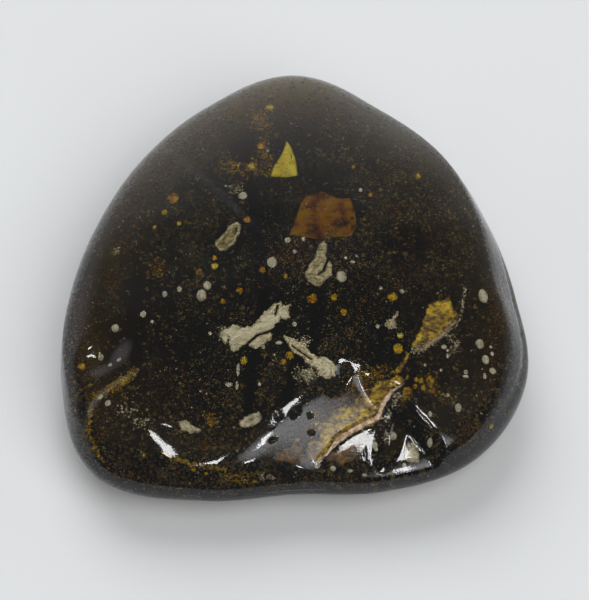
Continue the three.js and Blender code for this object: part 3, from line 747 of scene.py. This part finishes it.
# Dust: bits of soil and rotten wood at all depths, which give the resin its cloudy, mottled body
dust = {
    "fibreSize": 0.5, "blotSize": 1.4, "roughness": 0.8,
    "fine": {
        "seed": 17, "count": 34000, "radius": (0.03, 0.07), "depth": (0.2, 2.4), "flat": 0.7,
        "cloudSize": 3.2, "clearBelow": 0.38, "thinnest": 0.14,
        "colours": [(0.34, "#3a3824"), (0.44, "#716a47"), (0.52, "#938c69"), (0.62, "#b8b294"),
                    (0.7, "#d6d2c0")]},
    "motes": {
        "seed": 23, "count": 11000, "radius": (0.08, 0.3), "depth": (0.6, 3.2), "flat": 0.3, "cloudSize": 4.5,
        "clearBelow": 0.42, "thinnest": 0.14,
        "colours": [(0.34, "#33291a"), (0.45, "#584728"), (0.55, "#6f5f38"), (0.68, "#857847")]},
    "pale": {
        "seed": 29, "count": 700, "radius": (0.05, 0.11), "depth": (0.25, 0.9), "flat": 0.7, "cloudSize": 2.5,
        "clearBelow": 0.4, "thinnest": 0.15,
        "colours": [(0.34, "#8d8470"), (0.5, "#bcb5a2"), (0.66, "#e0dccf")]},
    # dark lanes, where cracks in the resin keep the dust out
    "lanes": [
        [(-4.6, 15.9), (-4.3, 10.5), (-3.9, 4.6), (-2.9, -2.9), (-2.6, -8.6)],
        [(-5.9, 14.0), (-5.5, 11.0), (-4.9, 8.0)],
        [(1.0, -9.9), (0.3, -11.4), (-0.4, -13.4), (-0.9, -14.8)],
        [(1.9, -5.8), (1.5, -9.9), (0.7, -12.3)],
        [(-3.5, -9.9), (-3.8, -12.9), (-4.3, -17.0)],
        [(-14.2, -3.2), (-14.4, -8.0), (-13.6, -12.5)],
    ],
    "laneEdge": (0.2, 1.0),    # from the middle of a lane: no dust, and all of it
    "reach": 0.975,            # the share of the way to the rim
    "triesEach": 8,            # places tried for each grain, because clouds and lanes refuse many
    # the clouds' weight beside that of the smaller wisps, and how softly they end
    "cloudShare": 0.6, "wispSize": 0.9, "cloudEdge": 0.25,
    "fineness": 3, "shallowness": 1.6,     # powers that favour small grains, and grains near the skin
}

# Room that shards keep in the stone, in millimetres, and how unlike their six corners are
shards = {"leastRoom": 1.2, "aboveBase": 0.5, "stretch": (0.5, 1.5)}


# Little flat shards, each turned its own way, kept off the skin and the base
def shardShapes(x, y, depth, size, flat, chance):
    room = crownHeight(x, y) - baseHeight(x, y)
    inside = room > shards["leastRoom"] + 2 * size
    x, y, depth, size, room = (values[inside] for values in (x, y, depth, size, room))
    depth = np.minimum(depth, room - shards["aboveBase"] - size)
    count = len(x)
    corners = np.array([(1, 0, 0), (-1, 0, 0), (0, 1, 0), (0, -1, 0), (0, 0, 1), (0, 0, -1)], float)
    faces = np.array([(0, 2, 4), (2, 1, 4), (1, 3, 4), (3, 0, 4), (2, 0, 5), (1, 2, 5), (3, 1, 5), (0, 3, 5)])
    stretch = chance.uniform(*shards["stretch"], (count, 6, 1))
    spin = chance.uniform(0, 2 * math.pi, count)
    cos, sin = np.cos(spin)[:, None], np.sin(spin)[:, None]
    shape = corners[None] * stretch * size[:, None, None]
    px = shape[:, :, 0] * cos - shape[:, :, 1] * sin + x[:, None]
    py = shape[:, :, 0] * sin + shape[:, :, 1] * cos + y[:, None]
    pz = shape[:, :, 2] * flat + (crownHeight(x, y) - depth)[:, None]
    vertices = np.stack([px, py, pz], 2).reshape(-1, 3)
    return vertices, (faces[None] + 6 * np.arange(count)[:, None, None]).reshape(-1, 3)


def dustShapes(look):
    chance = np.random.default_rng(look["seed"])
    tries = look["count"] * dust["triesEach"]
    turn, reach = chance.uniform(0, 2 * math.pi, tries), np.sqrt(chance.uniform(0, 1, tries))
    radius = ring(form["outline"], turn) * reach * dust["reach"]
    x, y = radius * np.cos(turn) + form["heart"][0], radius * np.sin(turn) + form["heart"][1]
    clouds = mottle(x, y, look["cloudSize"], look["seed"])
    wisps = mottle(x, y, dust["wispSize"], look["seed"] + 3)
    cloud = clouds * dust["cloudShare"] + wisps * (1 - dust["cloudShare"])
    density = np.clip((cloud - look["clearBelow"]) / dust["cloudEdge"], look["thinnest"], 1)
    for lane in dust["lanes"]:
        density = density * smoothStep(np.abs(fromLine(lane, x, y)[0]), *dust["laneEdge"])
    kept = np.nonzero(chance.uniform(0, 1, tries) < density)[0][:look["count"]]
    x, y = x[kept], y[kept]
    size = between(look["radius"], chance.uniform(0, 1, len(kept)) ** dust["fineness"])
    depth = between(look["depth"], chance.uniform(0, 1, len(kept)) ** dust["shallowness"])
    return shardShapes(x, y, depth, size, look["flat"], chance)


for name in ("fine", "motes", "pale"):
    finish = debrisAndReflectionFinish("Resin dust, " + name, {**dust, **dust[name]})
    addPiece(name + "_dust", dustShapes(dust[name]), finish)

# Hazes: streaks and patches where such shards crowd along old flow lines and under the rim; the gold ones are
# painted glints along the fold, the front crest and the fractures
hazes = {
    "fibreSize": 0.4, "blotSize": 1.2, "blotShare": 1.2, "roughness": 0.6,
    "seed": 91, "reach": 0.965, "fineness": 2,
    # line, half-width about it, count, depths
    "brown": {
        "radius": (0.05, 0.16), "flat": 0.35,
        "colours": [(0.34, "#3a2210"), (0.45, "#643c16"), (0.55, "#80551e"), (0.68, "#96742e")],
        "streams": [
            ([(-19.4, -2.0), (-19.2, -7.7), (-18.6, -12.0), (-17.4, -16.3), (-15.6, -19.8)],
             0.6, 700, (0.5, 2.0)),
            ([(-17.0, 0.4), (-15.0, 4.7), (-12.9, 8.6), (-9.0, 13.0), (-4.6, 17.6)], 1.3, 900, (0.6, 2.4)),
            ([(-14.5, -20.3), (-9.0, -21.3), (-3.0, -21.0), (3.0, -20.9), (9.0, -20.9)],
             0.45, 700, (0.9, 2.2)),
            ([(17.5, -4.5), (17.9, -9.3), (17.2, -13.5)], 0.55, 420, (0.5, 1.8)),
            ([(14.6, -17.6), (15.5, -16.4), (15.9, -15.4)], 0.5, 200, (0.7, 1.8)),
            ([(0.8, -17.4), (2.0, -16.1), (3.6, -14.8), (5.2, -14.0), (7.0, -13.2)], 0.32, 420, (0.42, 0.6)),
            ([(-16.6, -3.4), (-16.0, -3.0)], 0.5, 110, (0.5, 1.0)),
            ([(8.2, 3.8), (9.6, 3.5)], 0.55, 120, (0.5, 1.2)),
            ([(0.5, 14.6), (3.2, 14.2)], 0.6, 90, (0.6, 1.2)),
            ([(-2.6, -2.4), (0.4, -1.4), (1.8, -0.4)], 1.1, 420, (0.7, 1.4)),
            ([(-14.8, -20.6), (-14.5, -21.0)], 0.25, 60, (0.4, 0.8)),
            ([(-7.6, -18.3), (-8.2, -19.0)], 0.25, 50, (0.4, 0.8)),
            ([(-12.0, -12.5), (-8.0, -14.0), (-6.0, -13.0)], 1.3, 300, (0.6, 1.6)),
            ([(6.0, -6.0), (9.0, -4.0), (12.0, -1.0)], 1.4, 380, (0.6, 1.8)),
        ]},
    # Gold: painted glints, golden shards where light catches the fold, the front crest and the edges of the
    # fractures
    "gold_glint": {
        "radius": (0.05, 0.15), "flat": 0.35,
        "colours": [(0.34, "#5a3c06"), (0.44, "#9a7410"), (0.54, "#c09a18"), (0.66, "#dcc63c")],
        "streams": [
            ([(-14.2, -12.1), (-14.8, -12.7), (-15.5, -13.2), (-16.5, -13.7), (-17.6, -14.0)],
             0.26, 620, (0.35, 0.8)),
            ([(-17.9, -14.4), (-18.1, -15.3), (-18.2, -16.7), (-17.7, -18.3), (-16.8, -19.6)],
             0.1, 170, (0.35, 0.7)),
            ([(-11.7, -19.2), (-11.0, -19.6), (-9.2, -20.1), (-7.6, -20.4), (-6.1, -20.6)],
             0.1, 210, (0.25, 0.5)),
            ([(-6.5, -20.9), (-4.8, -21.1), (-3.2, -20.9)], 0.3, 150, (0.3, 0.8)),
            ([(-3.3, 15.2), (-3.1, 13.0)], 0.42, 260, (0.6, 1.2)),
            ([(-2.9, 11.6), (-2.7, 9.3), (-2.3, 8.0)], 0.3, 160, (0.6, 1.2)),
            ([(-5.9, 8.6), (-5.4, 8.2)], 0.5, 150, (0.6, 1.1)),
            ([(-4.0, 8.6), (-3.2, 7.6)], 0.45, 120, (0.6, 1.1)),
            ([(-12.6, -3.2), (-12.0, -1.6)], 0.45, 90, (0.5, 1.0)),
            ([(4.8, -13.3), (6.0, -12.8), (7.6, -12.4), (8.3, -12.4)], 0.45, 330, (0.5, 0.9)),
            ([(9.6, -14.6), (9.9, -14.4)], 0.2, 40, (0.4, 0.6)),
            ([(-7.5, -16.6), (-7.8, -16.1), (-7.1, -16.9)], 0.22, 70, (0.4, 0.7)),
            ([(11.2, -13.0), (12.9, -13.5), (13.6, -14.6)], 0.5, 110, (0.4, 0.9)),
            ([(5.8, 9.0), (5.2, 8.4)], 0.3, 24, (0.5, 0.9)),
        ]},
    "pale": {
        "radius": (0.04, 0.13), "flat": 0.5,
        "colours": [(0.34, "#8f7c66"), (0.46, "#beb19a"), (0.6, "#e2dccb")],
        "streams": [
            ([(-15.4, -15.4), (-14.4, -16.3), (-13.2, -17.4)], 0.35, 90, (0.2, 0.4)),
            ([(-16.1, -0.5), (-15.8, 0.2)], 0.2, 40, (0.35, 0.6)),
            ([(0.2, -12.8), (1.0, -12.6), (1.7, -12.9), (1.0, -13.2)], 0.3, 240, (0.3, 0.5)),
            ([(0.6, -9.8), (1.1, -10.0)], 0.24, 90, (0.3, 0.5)),
            ([(-6.9, -8.8), (-6.2, -8.8), (-6.0, -9.4)], 0.28, 90, (0.35, 0.6)),
            ([(10.6, -10.5), (11.5, -10.2), (12.4, -9.6), (13.3, -8.8), (14.0, -8.1)], 0.14, 300, (0.3, 0.5)),
            ([(15.3, -3.9), (15.1, -5.5), (14.7, -7.3), (14.3, -8.3)], 0.07, 90, (0.3, 0.6)),
            ([(-2.8, -21.0), (-1.7, -20.9)], 0.14, 50, (0.15, 0.3)),
            ([(0.0, -20.9), (2.1, -21.0), (4.0, -21.0)], 0.12, 70, (0.15, 0.3)),
            ([(7.8, -16.4), (8.6, -15.2), (9.4, -14.2)], 0.22, 120, (0.2, 0.4)),
            ([(8.2, -17.0), (8.2, -17.6)], 0.18, 60, (0.2, 0.35)),
            ([(17.8, -16.0), (17.2, -16.8)], 0.16, 50, (0.3, 0.5)),
            ([(-5.8, 6.0), (-5.0, 5.4)], 0.3, 60, (0.4, 0.6)),
            ([(13.8, -9.0), (14.3, -9.6), (14.1, -10.6)], 0.22, 90, (0.35, 0.6)),
        ]},
}


def hazeShapes(look, seed):
    chance = np.random.default_rng(seed)
    shapes = []
    for line, spread, count, depths in look["streams"]:
        knots = np.array(line)
        along = np.concatenate([[0], np.cumsum(np.hypot(*np.diff(knots, axis=0).T))])
        place = chance.uniform(0, along[-1], count)
        x = np.interp(place, along, knots[:, 0]) + chance.normal(0, spread, count)
        y = np.interp(place, along, knots[:, 1]) + chance.normal(0, spread, count)
        away = np.hypot(x - form["heart"][0], y - form["heart"][1])
        rim = ring(form["outline"], np.arctan2(y - form["heart"][1], x - form["heart"][0]))
        inside = away < hazes["reach"] * rim
        x, y = x[inside], y[inside]
        size = between(look["radius"], chance.uniform(0, 1, len(x)) ** hazes["fineness"])
        depth = between(depths, chance.uniform(0, 1, len(x)))
        shapes.append(shardShapes(x, y, depth, size, look["flat"], chance))
    return joined(shapes)


for k, name in enumerate(("brown", "gold_glint", "pale")):
    finish = debrisAndReflectionFinish("Haze of " + name + " shards", {**hazes, **hazes[name]})
    addPiece(name + "_haze", hazeShapes(hazes[name], hazes["seed"] + k), finish)

# Amber flecks: little golden and orange fractures a hair's breadth thick, their colour a painted glint of the
# light they catch
flecks = {
    "fibreSize": 0.4, "blotSize": 2.5, "blotShare": 1.2, "bumpDepth": 0.02, "roughness": 0.5,
    "colours": [(0.36, "#8a4c0a"), (0.45, "#bd8612"), (0.54, "#d8bc24"), (0.66, "#efe67a")],
    "depth": 0.75, "seed": 81, "shape": (1, 1.15, 0.3), "lumps": (0.25, 1.75), "lumpSize": 0.55,
    "patternStep": 7,
    # x, y and half-width
    "places": [
        (-11.0, 5.2, 0.46), (-11.7, 3.6, 0.23), (-12.6, 2.0, 0.18), (-10.4, 2.2, 0.18), (-4.0, 8.5, 0.23),
        (-3.2, 10.9, 0.18), (-2.3, 15.8, 0.32), (11.2, 7.9, 0.23), (6.9, 5.3, 0.20), (1.6, -5.7, 0.37),
        (3.5, -5.5, 0.28), (-1.0, -11.5, 0.23), (-0.4, -10.9, 0.32), (-4.5, -11.4, 0.28), (4.4, -6.9, 0.28),
        (9.4, -9.0, 0.23), (8.8, -5.4, 0.37), (9.2, -10.2, 0.37), (12.0, -12.7, 0.18), (10.8, -12.9, 0.18),
        (10.0, -13.9, 0.32), (12.2, -13.0, 0.23), (11.2, -13.0, 0.18), (11.4, -13.6, 0.23),
        (10.7, -13.5, 0.18), (12.3, -13.8, 0.20), (5.0, -13.7, 0.22), (4.4, -14.5, 0.13), (1.9, -16.5, 0.18),
        (0.2, -17.9, 0.18), (-4.3, 2.3, 0.30), (-7.2, -1.6, 0.22), (-7.2, -2.4, 0.26), (-4.9, -4.9, 0.28),
        (-6.4, -5.9, 0.2), (-8.5, -3.0, 0.26), (-2.9, -2.9, 0.28), (-0.8, -3.5, 0.2), (-3.1, 10.9, 0.3),
        (-3.9, 8.4, 0.3), (-7.4, -16.7, 0.26), (-8.9, -20.4, 0.15), (-7.8, -20.7, 0.13), (-13.3, -19.2, 0.16),
        (17.4, -16.0, 0.22), (-19.0, -10.8, 0.3)],
}


def fleckShapes():
    points, faces = ballShape(3)
    shapes = []
    for k, (x, y, half) in enumerate(flecks["places"]):
        pattern = mottle(points[:, 0] + flecks["patternStep"] * k, points[:, 1] + 3 * points[:, 2],
                         flecks["lumpSize"], flecks["seed"])
        offset = points * np.array(flecks["shape"]) * half * between(flecks["lumps"], pattern)[:, None]
        shapes.append((offset + [x, y, float(crownHeight(x, y)) - flecks["depth"]], faces))
    return joined(shapes)


addPiece("amber_flecks", fleckShapes(), debrisAndReflectionFinish("Golden flecks, painted glints", flecks))

# Floor: matt pale card, with no shine to mirror the stone
floorLook = {"half": 1500, "roughness": 0.9, "cloud": 40, "colours": [(0.3, "#cbcccd"), (0.7, "#ced0d1")]}


def addFloor():
    material, tree = newMaterial("Matt white card")
    place = addNode(tree, "ShaderNodeTexCoord").outputs["Object"]
    cloud = addNoise(tree, place, floorLook["cloud"], 2.0)
    colour = addNode(tree, "ShaderNodeValToRGB", {"stops": floorLook["colours"]},
                     {"Fac": cloud.outputs["Fac"]})
    card = addNode(tree, "ShaderNodeBsdfPrincipled",
                   {"Roughness": floorLook["roughness"], "Specular IOR Level": 0.1},
                   {"Base Color": colour.outputs["Color"]})
    addNode(tree, "ShaderNodeOutputMaterial", {}, {"Surface": card.outputs["BSDF"]})
    half = floorLook["half"]
    floor = newMesh("floor", [(-half, -half, 0), (half, -half, 0), (half, half, 0), (-half, half, 0)],
                    [(0, 1, 2, 3)], material)


addFloor()

# Studio: soft light from all round, brighter behind the stone and at its sides, with a glow over its front
studio = {
    "base": 0.2,
    # direction, half angle in degrees, change of brightness at its middle
    "lobes": [
        ((0.0, 1.0, 0.1), 52, 0.68),
        ((1.0, 0.2, 0.1), 45, 0.34),
        ((-1.0, 0.2, 0.1), 45, 0.66),
        ((0.235, -0.48, 0.845), 9.5, 3.0),
    ],
    "tint": "#fbfcff",
    "aimHeight": 6,
    "key": {"from": (-0.2, 0.6, 0.75), "distance": 900, "size": (800, 800), "watts": 5.4},
    "fill": {"from": (0.35, -0.5, 0.8), "distance": 900, "size": (900, 900), "watts": 6.2},
    # small bright softboxes, seen only as highlights on the gloss
    "softboxes": [
        {"from": (0.19, -0.63, 0.75), "distance": 900, "size": (52, 53), "radiance": 17},
        {"from": (0.168, -0.49, 0.855), "distance": 900, "size": (28, 90), "radiance": 15},
        {"from": (0.11, -0.31, 0.945), "distance": 900, "size": (50, 130), "radiance": 15},
        {"from": (-0.07, -0.45, 0.89), "distance": 900, "size": (62, 63), "radiance": 15},
    ],
}


def addStudio():
    world = bpy.data.worlds.new("studio")
    world.use_nodes = True
    tree = world.node_tree
    tree.nodes.clear()
    direction = addNode(tree, "ShaderNodeTexCoord").outputs["Generated"]
    level = None
    for axis, halfAngle, change in studio["lobes"]:
        facing = addNode(tree, "ShaderNodeVectorMath", {
            "operation": "DOT_PRODUCT", 1: Vector(axis).normalized()}, {0: direction})
        lobe = addNode(tree, "ShaderNodeMapRange", {
            "interpolation_type": "SMOOTHSTEP", "From Min": math.cos(math.radians(halfAngle)),
            "From Max": 1.0, "To Min": 0.0, "To Max": change}, {"Value": facing.outputs["Value"]})
        added = addNode(tree, "ShaderNodeMath", {"operation": "ADD", 1: studio["base"]},
                        {0: lobe.outputs["Result"]})
        if level is not None:
            tree.links.new(level, added.inputs[1])
        level = added.outputs["Value"]
    sky = addNode(tree, "ShaderNodeBackground", {"Color": hexToLinear(studio["tint"])}, {"Strength": level})
    addNode(tree, "ShaderNodeOutputWorld", {}, {"Surface": sky.outputs["Background"]})
    bpy.context.scene.world = world


def addLamp(name, look, watts):
    light = bpy.data.lights.new(name, "AREA")
    light.shape = "ELLIPSE" if look["size"][0] == look["size"][1] else "RECTANGLE"
    light.size, light.size_y = (side * mm for side in look["size"])
    light.energy = watts
    lamp = bpy.data.objects.new(name, light)
    towards = Vector(look["from"]).normalized()
    lamp.location = towards * look["distance"] * mm + Vector((0, 0, studio["aimHeight"] * mm))
    lamp.rotation_mode = "QUATERNION"
    lamp.rotation_quaternion = towards.to_track_quat("Z", "Y")
    bpy.context.collection.objects.link(lamp)
    return lamp


addStudio()
for name in ("key", "fill"):
    addLamp(name, studio[name], studio[name]["watts"]).visible_glossy = False
for softbox in studio["softboxes"]:
    area = softbox["size"][0] * softbox["size"][1] * mm ** 2
    lamp = addLamp("softbox", softbox, softbox["radiance"] * math.pi * area)
    lamp.visible_diffuse = False
    lamp.visible_transmission = False
print("lit")

# Camera: the view of the photograph, from the front and well above
view = {"elevation": 56, "distance": 330, "target": (0, -2.13, 6), "lens": 217, "sensor": 36,
        "clip": (0.01, 20)}
camera = bpy.data.objects.new("camera", bpy.data.cameras.new("camera"))
tilt = math.radians(view["elevation"])
back = Vector((0, -math.cos(tilt), math.sin(tilt)))
camera.location = (Vector(view["target"]) + back * view["distance"]) * mm
camera.rotation_mode = "QUATERNION"
camera.rotation_quaternion = back.to_track_quat("Z", "Y")
camera.data.lens = view["lens"]
camera.data.sensor_width = view["sensor"]
camera.data.clip_start, camera.data.clip_end = view["clip"]
bpy.context.collection.objects.link(camera)
bpy.context.scene.camera = camera
bpy.context.scene.view_settings.view_transform = "Standard"

print("done")
